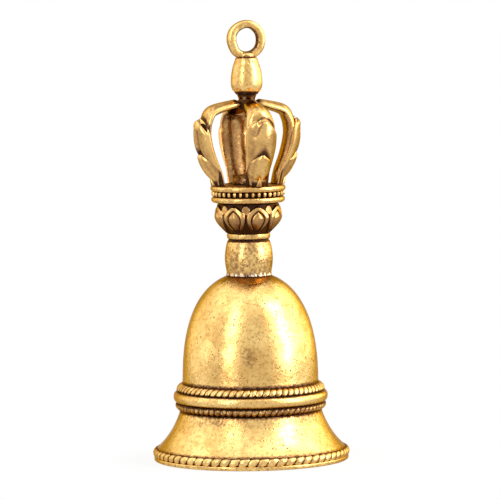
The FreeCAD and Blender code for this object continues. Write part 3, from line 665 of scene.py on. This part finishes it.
bead_count, bead_ring_r, bead_z, bead_half_h, bead_proud = 36, 4.42, 36.42, 0.34, 0.50
v = np.linspace(0, 2 * np.pi, 28, endpoint=False)[:, None]
around = np.linspace(0, 2 * np.pi, bead_count * 28, endpoint=False)[None]
bead = np.clip(np.cos(bead_count * around / 2) ** 2 * 1.5 - 0.32, 0, 1) ** 0.5
outward = np.clip(np.cos(v), 0, 1) ** 0.4
r = bead_ring_r + 0.10 * np.cos(v) + (bead_proud * bead + 0.02) * outward
z = bead_z + bead_half_h * np.sign(np.sin(v)) * np.abs(np.sin(v)) ** 0.6 * (0.80 + 0.20 * bead) + 0 * around
places = np.stack([r * np.cos(around), r * np.sin(around), z], -1)
patina_and_shade = np.clip(1 - smooth(bead, 0.35, 0.8) * smooth(np.cos(v), 0.0, 0.3), 0, 1)
surface("beads", [(places, 0.22 + 0.78 * patina_and_shade, 0.4 * (1 - patina_and_shade), True, True)], antique_brass,
        replaces=("bead_band",))

# ---------------------------------------------------------------- Prongs
# Four cast prongs close over the crown. Each is three leaves growing out of one another: a smooth
# lower one with a spike at its foot, a broad one with a cleft head, and one that runs in to the hub.
cage_z, cage_h, foot_rho, bulge_rho = 37.55, 10.95, 4.10, 6.30


def through(points, share):
    """Smooth curve through points, read at a share of the way along: each stretch is the cubic whose
    slope at a point is half the step between its neighbours."""
    p = np.asarray(points, float)
    p = p[:, None] if p.ndim == 1 else p
    p = np.vstack([2 * p[0] - p[1], p, 2 * p[-1] - p[-2]])
    x = np.clip(share, 0, 1) * (len(p) - 3)
    k = np.minimum(x.astype(int), len(p) - 4)
    t = (x - k)[..., None]
    a, b, c, d = p[k], p[k + 1], p[k + 2], p[k + 3]
    return 0.5 * (2 * b + (c - a) * t + (2 * a - 5 * b + 4 * c - d) * t ** 2 + (3 * b - a - 3 * c + d) * t ** 3)


def cage_point(share, rho_share):
    """Spine point from its share of the cage height and of the way out from the foot to the bulge."""
    return (foot_rho + rho_share * (bulge_rho - foot_rho), cage_z + share * cage_h)


def leaf_sheet(spine, widths, thick, reach, relief, dirt, rows=100, ring=144):
    """Closed grid of one leaf. Across runs from -1 to 1 and along from 0 to reach(across), the share of
    the spine where the leaf ends at that place across, so reach gives the shape of its head. The
    face stands thick * (1 - |across|^2.1)^0.62 * relief(across, along) out and the back is flat."""
    v = np.linspace(0, 1, rows)[:, None]
    phi = np.linspace(2 * np.pi, 0, ring, endpoint=False)[None]
    across = np.sign(np.cos(phi)) * np.abs(np.cos(phi)) ** 0.8 + 0 * v
    along = v * reach(across)
    middle = through(spine, along)
    step = through(spine, along + 0.01) - through(spine, along - 0.01)
    step = step / np.linalg.norm(step, axis=-1, keepdims=True)
    width = through(widths, along)[..., 0]
    depth = through(thick, along)[..., 0]
    rounded = np.sqrt(1 - np.clip((v - 0.93) / 0.08, 0, 0.985) ** 2)
    bulk = np.clip(1 - np.abs(across) ** 2.1, 0, 1) ** 0.62 * rounded
    front = np.sin(phi) >= 0
    out = depth * np.where(front, 0.62 * relief(across, along) * bulk + 0.02, -0.34 * bulk - 0.02)
    rho = middle[..., 0] + step[..., 1] * out
    z = middle[..., 1] - step[..., 0] * out
    places = np.stack([rho, width * across, z], -1)
    edge = smooth(np.abs(across), 0.80, 0.97) + smooth(v, 0.93, 1.0)
    # Painted shade: a brown band down each side of a leaf's face, at 0.68 of the way out, makes the face look
    # rounder, and the back, which faces into the cage, is browner as painted shade, less so near its edges.
    painted_flank_shade = np.exp(-((np.abs(across) - 0.68) / 0.14) ** 2)
    patina_and_shade = np.clip(np.where(front, 0.17 + 0.17 * painted_flank_shade + dirt(across, along, v), 0.42 - 0.3 * edge), 0, 1)
    ridge = np.clip(0.55 * edge * (patina_and_shade < 0.6), 0, 1)
    return places, patina_and_shade, ridge, True, False


def above_head(a, s, tip_at, drop, middle_at, fade):
    """1 where a leaf runs out from behind the head of the one before it, fading to 0 above that head.
    The head's line is tip_at at its point and falls by drop towards the edges."""
    head = tip_at - drop * np.abs(a - middle_at) ** 1.6
    return 1 - smooth(s, head, head + fade)


lower = leaf_sheet(
    spine=[cage_point(0.0, 0.0), cage_point(0.12, 0.05), cage_point(0.24, 0.40), cage_point(0.35, 0.80),
           cage_point(0.435, 1.12)],
    widths=[1.22, 1.48, 1.60, 1.46, 1.02],
    thick=[0.95, 1.45, 1.75, 1.55, 0.95],
    reach=lambda a: 1 - 0.34 * np.abs(a) ** 2.0,
    relief=lambda a, s: 0.92 + 0.36 * (1 - a ** 2),
    dirt=lambda a, s, v: 0.85 * (1 - smooth(s, 0.05, 0.20)) * (1 - smooth(np.abs(a), 0.60, 0.85))
    + 0.30 * smooth(np.abs(a), 0.80, 1.0),
)
cleft, side_furrow = -0.34, 0.30


def middle_leaf(furrow):
    """Broad leaf with a cleft in its head, from which a groove runs down to the edge and parts a small
    lobe from the rest. A furrow depth above 0 adds two furrows down the face."""
    def groove(a, s, wide):
        return np.exp(-((a - cleft + 1.1 * (0.80 - s)) / wide) ** 2)

    def furrows(a, s):
        down_face = smooth(s, 0.16, 0.34) * (1 - smooth(s, 0.72, 0.82))
        return np.exp(-((np.abs(a) + cleft) / 0.13) ** 2) * down_face

    return leaf_sheet(
        spine=[cage_point(0.0, -0.12), cage_point(0.17, 0.10), cage_point(0.34, 0.50), cage_point(0.50, 0.80),
               cage_point(0.65, 0.94), cage_point(0.76, 1.12), cage_point(0.835, 1.31)],
        widths=[1.62, 1.68, 1.93, 2.12, 2.14, 1.98, 1.62],
        thick=[1.0, 1.2, 1.6, 2.0, 1.95, 1.5, 0.9],
        reach=lambda a: 1 - 0.34 * (np.clip(a - 0.22, 0, 1) / 0.78) ** 1.6 - 0.05 * np.clip(0.22 - a, 0, 1)
        - 0.45 * np.clip(-0.62 - a, 0, 1) ** 1.4 - 0.055 * np.exp(-((a - cleft) / 0.11) ** 2),
        relief=lambda a, s: 0.90 + 0.32 * (1 - (a - 0.15) ** 2) - furrow * furrows(a, s)
        - 0.20 * groove(a, s, 0.19) * smooth(s, 0.58, 0.84),
        dirt=lambda a, s, v: 0.70 * above_head(a, s, tip_at=0.475, drop=0.34, middle_at=0.0, fade=0.085)
        + 1.3 * furrow * furrows(a, s) + 0.38 * groove(a, s, 0.10) * smooth(s, 0.60, 0.82),
    )


upper = leaf_sheet(
    spine=[cage_point(0.55, 0.74), cage_point(0.70, 0.82), cage_point(0.82, 0.68), cage_point(0.91, 0.34),
           (2.60, cage_z + 0.975 * cage_h), (1.22, cage_z + 1.005 * cage_h)],
    widths=[1.5, 1.95, 1.88, 1.60, 1.28, 0.90],
    thick=[1.15, 1.5, 1.5, 1.45, 1.2, 1.05],
    reach=lambda a: 1 + 0 * a,
    relief=lambda a, s: 0.88 + 0.22 * (1 - a ** 2) * smooth(s, 0.25, 0.60),
    dirt=lambda a, s, v: 0.62 * above_head(a, s, tip_at=0.415, drop=0.20, middle_at=0.22, fade=0.045)
    + 0.7 * smooth(s, 0.84, 0.99),
)
spike_rho, spike_lean, spike_h = 4.80, 0.60, 1.25
v = np.linspace(0, 1, 16)[:, None]
around = np.linspace(0, 2 * np.pi, 24, endpoint=False)[None]
spike_r = 0.42 * (1 - v) ** 0.8 + 0.03
places = np.stack([spike_rho + spike_lean * v + spike_r * np.cos(around), spike_r * np.sin(around),
                   cage_z + spike_h * v + 0 * around], -1)
spike = (places, 0.6 * (1 - v) ** 2, 0.9 * v, True, False)
for number, node in enumerate(("prong_right", "prong_back", "prong_left", "prong_front")):
    turned_by = number * np.pi / 2
    c, s = math.cos(turned_by), math.sin(turned_by)
    spin = np.array([[c, s, 0], [-s, c, 0], [0, 0, 1]])
    middle = middle_leaf(side_furrow if node in ("prong_right", "prong_left") else 0.0)
    sheets = [(sheet[0] @ spin,) + sheet[1:] for sheet in (lower, middle, upper, spike)]
    surface("leaves_" + node[6:], sheets, relief_brass, replaces=(node,))

# ---------------------------------------------------------------- Hub, bud and loop
# The prong tips close on a turned hub with a drop under it. A smooth lotus bud is pinned on the hub,
# with a row of tiny beads round its foot, and the cast loop is pinned in the bud.
hub_top, hub_pin_r = 49.84, 0.69
hub_line = np.vstack([
    path_points([(0.16, 46.75), (0.34, 46.82), (0.40, 47.20), (0.32, 47.45), (0.46, 47.72), (1.05, 47.80)], 0.08),
    through([(1.18, 47.92), (1.28, 48.30), (1.28, 48.80), (1.12, 49.15), (1.20, 49.45), (1.30, 49.72)],
            np.linspace(0, 1, 30)),
    [(1.25, hub_top), (hub_pin_r, hub_top), (hub_pin_r, 51.24), (0.05, 51.24)],
])
z = hub_line[:, 1][:, None]
patina_and_shade = np.clip(0.95 - 0.40 * np.exp(-((z - 49.40) / 0.22) ** 2) - 0.45 * np.exp(-((z - 47.1) / 0.25) ** 2), 0, 1)
surface("hub", [(spun(hub_line, 96)[0], patina_and_shade, 0.0, True, False)], relief_brass, replaces=("crown_hub",))

bud_foot, bud_top, loop_bore_r, hub_bore_r, bud_columns = 49.86, 54.84, 0.64, 0.74, 320
bud_face = through([(1.46, bud_foot), (1.70, 50.22), (2.06, 50.78), (2.15, 51.55), (2.09, 52.45), (1.88, 53.55),
                    (1.62, 54.35), (1.46, bud_top)], np.linspace(0, 1, 90))
bud_line = np.vstack([bud_face, [(loop_bore_r, bud_top), (loop_bore_r, 53.62), (0.05, 53.62), (0.05, 51.30),
                                 (hub_bore_r, 51.28), (hub_bore_r, bud_foot)]])
z = bud_line[:, 1][:, None]
around = np.linspace(0, 2 * np.pi, bud_columns, endpoint=False)[None]
on_face = (bud_line[:, 0] > 1.4)[:, None]
knobs, knob_z = 20, 50.42
knob = np.exp(-((z - knob_z) / 0.13) ** 2) * np.clip(np.cos(knobs * around), 0, 1) ** 0.6 * on_face
under = (1 - smooth(z, 50.10, 50.32)) * on_face
patina_and_shade = np.clip(under + 0.5 * np.exp(-((z - 50.27) / 0.10) ** 2) * (1 - knob)
                 + 0.6 * smooth(z, 54.6, bud_top), 0, 1)
ridge = np.clip(knob, 0, 1)
surface("bud", [(spun(bud_line, bud_columns, 0.07 * knob)[0], patina_and_shade, ridge, True, True)], antique_brass,
        replaces=("finial_bud",))

# The loop is a hoop of uneven, squarish section on a short round foot with a pin under it.
loop_z, loop_r, loop_half_w, loop_half_depth, loop_pin_r = 57.27, 2.72, 0.61, 0.74, 0.60
u = np.linspace(0, 2 * np.pi, 150, endpoint=False)[None]
v = np.linspace(0, 2 * np.pi, 40, endpoint=False)[:, None]
side = np.sign(np.cos(v)) * np.abs(np.cos(v)) ** 0.78
thin = loop_half_w - 0.06 * np.sin(u) ** 2
r = loop_r - 0.05 * np.cos(2 * u - 0.5) ** 2 - thin + thin * side + 0.015 * np.sin(5 * u)
y = (loop_half_depth - 0.03 * np.cos(3 * u)) * np.sign(np.sin(v)) * np.abs(np.sin(v)) ** 0.66
corner = smooth(np.abs(np.sin(v)), 0.0, 0.3) * smooth(np.abs(np.cos(v)), 0.85, 1.0)
# The inner face of the hoop is darkened as painted shade.
patina_and_shade = 0.14 + 0.66 * smooth(-side, 0.5, 1.0) + 0.30 * corner
ridge = 0.6 * smooth(side, 0.3, 0.9) * (1 - smooth(side, 0.92, 1.0))
places = np.stack([r * np.cos(u), y, loop_z + r * np.sin(u)], -1)
hoop = (places[::-1], patina_and_shade[::-1], ridge[::-1], True, True)
foot_line = np.array([(0.03, 53.66), (loop_pin_r, 53.66), (loop_pin_r, 54.86), (1.20, 54.86), (1.26, 54.98),
                      (1.16, 55.30), (0.95, 55.60), (0.03, 55.62)])
foot_dirt = 0.75 * (1 - smooth(foot_line[:, 1], 54.95, 55.4))
foot = (spun(foot_line, 64)[0], foot_dirt[:, None], 0.0, True, False)
surface("loop", [hoop, foot], antique_brass, replaces=("hang_loop",))

# ---------------------------------------------------------------- Bolt, washer and nut
# A brass bolt runs up through the whole stack, from an eye inside the cup to a domed nut on the
# floor of the cage, with a washer under the crown of the cup. Nobody polishes it, so it is dull.
raw_brass = cast_brass("raw_brass", pitting=0.3, bright=(0.86, 0.60, 0.27), brown=(0.50, 0.30, 0.11),
                       roughness=0.36)
nut_foot, nut_r = 37.57, 2.04
nut_line = np.vstack([
    path_points([(0.04, nut_foot), (1.95, nut_foot), (nut_r, 37.66), (nut_r, 38.02)], 0.3),
    through([(1.98, 38.12), (1.74, 38.55), (1.30, 38.86), (0.62, 39.03), (0.04, 39.04)], np.linspace(0, 1, 20)),
])
surface("nut", [(spun(nut_line, 96)[0], 0.75, 0.0, True, False)], antique_brass, replaces=("crown_nut",))


def wire_loop(centre, mean_r, wire, axis, around_steps=96, wire_steps=24):
    """Closed ring of round wire: a torus of radii mean_r and wire about centre. Its axis is X or Y."""
    u = np.linspace(0, 2 * np.pi, around_steps, endpoint=False)[None]
    v = np.linspace(0, 2 * np.pi, wire_steps, endpoint=False)[:, None]
    r = mean_r + wire * np.cos(v)
    flat_way, tall_way, along = r * np.cos(u), r * np.sin(u), wire * np.sin(v) + 0 * u
    if axis == "X":
        places = np.stack([along, flat_way, tall_way], -1)
    else:
        places = np.stack([flat_way, along, tall_way], -1)[::-1]
    return places + np.array(centre), 0.10, 0.0, True, True


def turned_sheet(line, columns, patina_and_shade=0.15):
    """Closed turned form of a list of (r, z) corners with both ends near the axis."""
    return spun(np.array(line, float), columns)[0], patina_and_shade, 0.0, True, False


bolt_eye_z, bolt_eye_r, bolt_eye_wire = 21.04, 1.30, 0.445
flange_low, flange_top, flange_r, bolt_r, bolt_top = 22.70, 23.09, 1.74, 1.0, 38.54
surface("bolt", [
    wire_loop((0, 0, bolt_eye_z), bolt_eye_r, bolt_eye_wire, "Y"),
    turned_sheet([(0.05, flange_low), (1.68, flange_low), (flange_r, 22.76), (flange_r, 23.04), (1.68, flange_top),
                  (bolt_r, flange_top), (bolt_r, 38.45), (0.9, bolt_top), (0.05, bolt_top)], 72),
], raw_brass, replaces=("eye_bolt",))
turned_ring("washer", "bell_washer", out_r=2.30, in_r=1.05, z0=23.11, z1=23.59, ease=0.10, columns=96,
            material=raw_brass, dirt=0.25)

# ---------------------------------------------------------------- Link
# An oval link of brass wire hangs in the bolt's eye and carries the clapper's eye. Between two wires
# there is a running gap, and each of its ends turns about the wire that it hangs on or carries.
eye_wire, link_wire, hang_gap = 0.45, 0.35, 0.12
link_pivot_z, clapper_pivot_z, thin_wire = 19.74, 17.14, 0.345
bend = eye_wire + hang_gap + link_wire
low_z = clapper_pivot_z + bend
t = np.linspace(0, np.pi, 40, endpoint=False)
oval = np.vstack([
    np.stack([bend * np.cos(t), link_pivot_z + bend * np.sin(t)], 1),
    path_points([(-bend, link_pivot_z), (-bend, low_z)], 0.2)[:-1],
    np.stack([-bend * np.cos(t), low_z - bend * np.sin(t)], 1),
    path_points([(bend, low_z), (bend, link_pivot_z)], 0.2)[:-1],
])
ahead = np.roll(oval, -1, 0) - np.roll(oval, 1, 0)
ahead = ahead / np.linalg.norm(ahead, axis=1, keepdims=True)
away = np.stack([ahead[:, 1], -ahead[:, 0]], 1)
v = np.linspace(0, 2 * np.pi, 20, endpoint=False)[:, None]
places = np.stack([thin_wire * np.sin(v) + 0 * oval[None, :, 0],
                   oval[None, :, 0] + thin_wire * np.cos(v) * away[None, :, 0],
                   oval[None, :, 1] + thin_wire * np.cos(v) * away[None, :, 1]], -1)
surface("link", [(places, 0.12, 0.0, True, True)], raw_brass, body="link",
        replaces=("clapper_link",))

# ---------------------------------------------------------------- Clapper
# The clapper is forged iron: a rod with an eye closed round the link, passed through a turned ball
# and riveted under it. It is dark with rust in its pits and bright where the ball strikes.
def forged_iron(name):
    """Dark iron, tinted in turn by the wear masks: darker in clouds, rust in stains and pits, and
    bare grey where it is rubbed. Where rust stains it, it is less metallic."""
    mat = bpy.data.materials.new(name)
    mat.use_nodes = True
    n, l = mat.node_tree.nodes, mat.node_tree.links
    n.clear()
    shader, out = n.new("ShaderNodeBsdfPrincipled"), n.new("ShaderNodeOutputMaterial")
    l.new(shader.outputs[0], out.inputs["Surface"])
    wear = n.new("ShaderNodeGroup")
    wear.node_tree = cast_wear
    wear.inputs["Pitting"].default_value = 1.0
    l.new(attribute(n, "patina_and_shade"), wear.inputs["Patina_and_shade"])
    l.new(attribute(n, "ridge"), wear.inputs["Ridge"])
    colour = None
    tints = {"Cloud": (0.11, 0.095, 0.085), "Stain": (0.17, 0.07, 0.03), "Grime_and_shade": (0.07, 0.03, 0.015),
             "Rubbed": (0.34, 0.32, 0.30)}
    for output, tint in tints.items():
        node = n.new("ShaderNodeMix")
        node.data_type = "RGBA"
        l.new(wear.outputs[output], node.inputs[0])
        node.inputs[6].default_value = (0.18, 0.165, 0.15, 1)
        if colour is not None:
            l.new(colour, node.inputs[6])
        node.inputs[7].default_value = (*tint, 1)
        colour = node.outputs[2]
    l.new(colour, shader.inputs["Base Color"])
    metal = n.new("ShaderNodeMapRange")
    metal.inputs["To Min"].default_value = 0.95
    metal.inputs["To Max"].default_value = 0.35
    l.new(wear.outputs["Stain"], metal.inputs["Value"])
    l.new(metal.outputs[0], shader.inputs["Metallic"])
    shader.inputs["Roughness"].default_value = 0.52
    bump = n.new("ShaderNodeBump")
    bump.inputs["Strength"].default_value = 0.7
    bump.inputs["Distance"].default_value = 0.00005
    l.new(wear.outputs["Height"], bump.inputs["Height"])
    l.new(bump.outputs["Normal"], shader.inputs["Normal"])
    return mat


iron = forged_iron("iron")
eye_mean = link_wire + hang_gap + link_wire
rod_r, rod_top, ball_bore_r = 0.545, clapper_pivot_z - eye_mean, 0.60
ball_z, ball_r, rivet_r = 5.20, 2.70, 0.95
ball_flat = ball_z - math.sqrt(ball_r ** 2 - rivet_r ** 2)
rivet_low, rivet_edge, rod_tip = ball_flat - 0.445, 0.90, rod_top + 0.34
rod_line = np.vstack([
    path_points([(0.05, rivet_low), (0.55, rivet_low), (rivet_edge, ball_flat - 0.10),
                 (rivet_edge, ball_flat - 0.01)], 0.2),
    path_points([(rod_r, ball_flat), (rod_r, rod_top), (0.36, rod_tip), (0.05, rod_tip)], 0.5),
])
surface("rod", [
    wire_loop((0, 0, clapper_pivot_z), eye_mean, thin_wire, "Y", 72, 20),
    turned_sheet(rod_line, 48, 0.2),
], iron, body="clapper", replaces=("clapper_rod",))
lean = np.linspace(-math.acos(rivet_r / ball_r), math.acos(rivet_r / ball_r), 60)
ball_line = np.vstack([
    [(ball_bore_r, ball_flat)],
    np.stack([ball_r * np.cos(lean), ball_z + ball_r * np.sin(lean)], 1),
    [(ball_bore_r, 2 * ball_z - ball_flat)],
])
struck = np.exp(-((ball_line[:, 1] - ball_z) / 0.5) ** 2)[:, None]
surface("ball", [(spun(ball_line, 140)[0], 0.15 * (1 - struck), 0.6 * struck, True, True)], iron, body="clapper",
        replaces=("clapper_ball",))
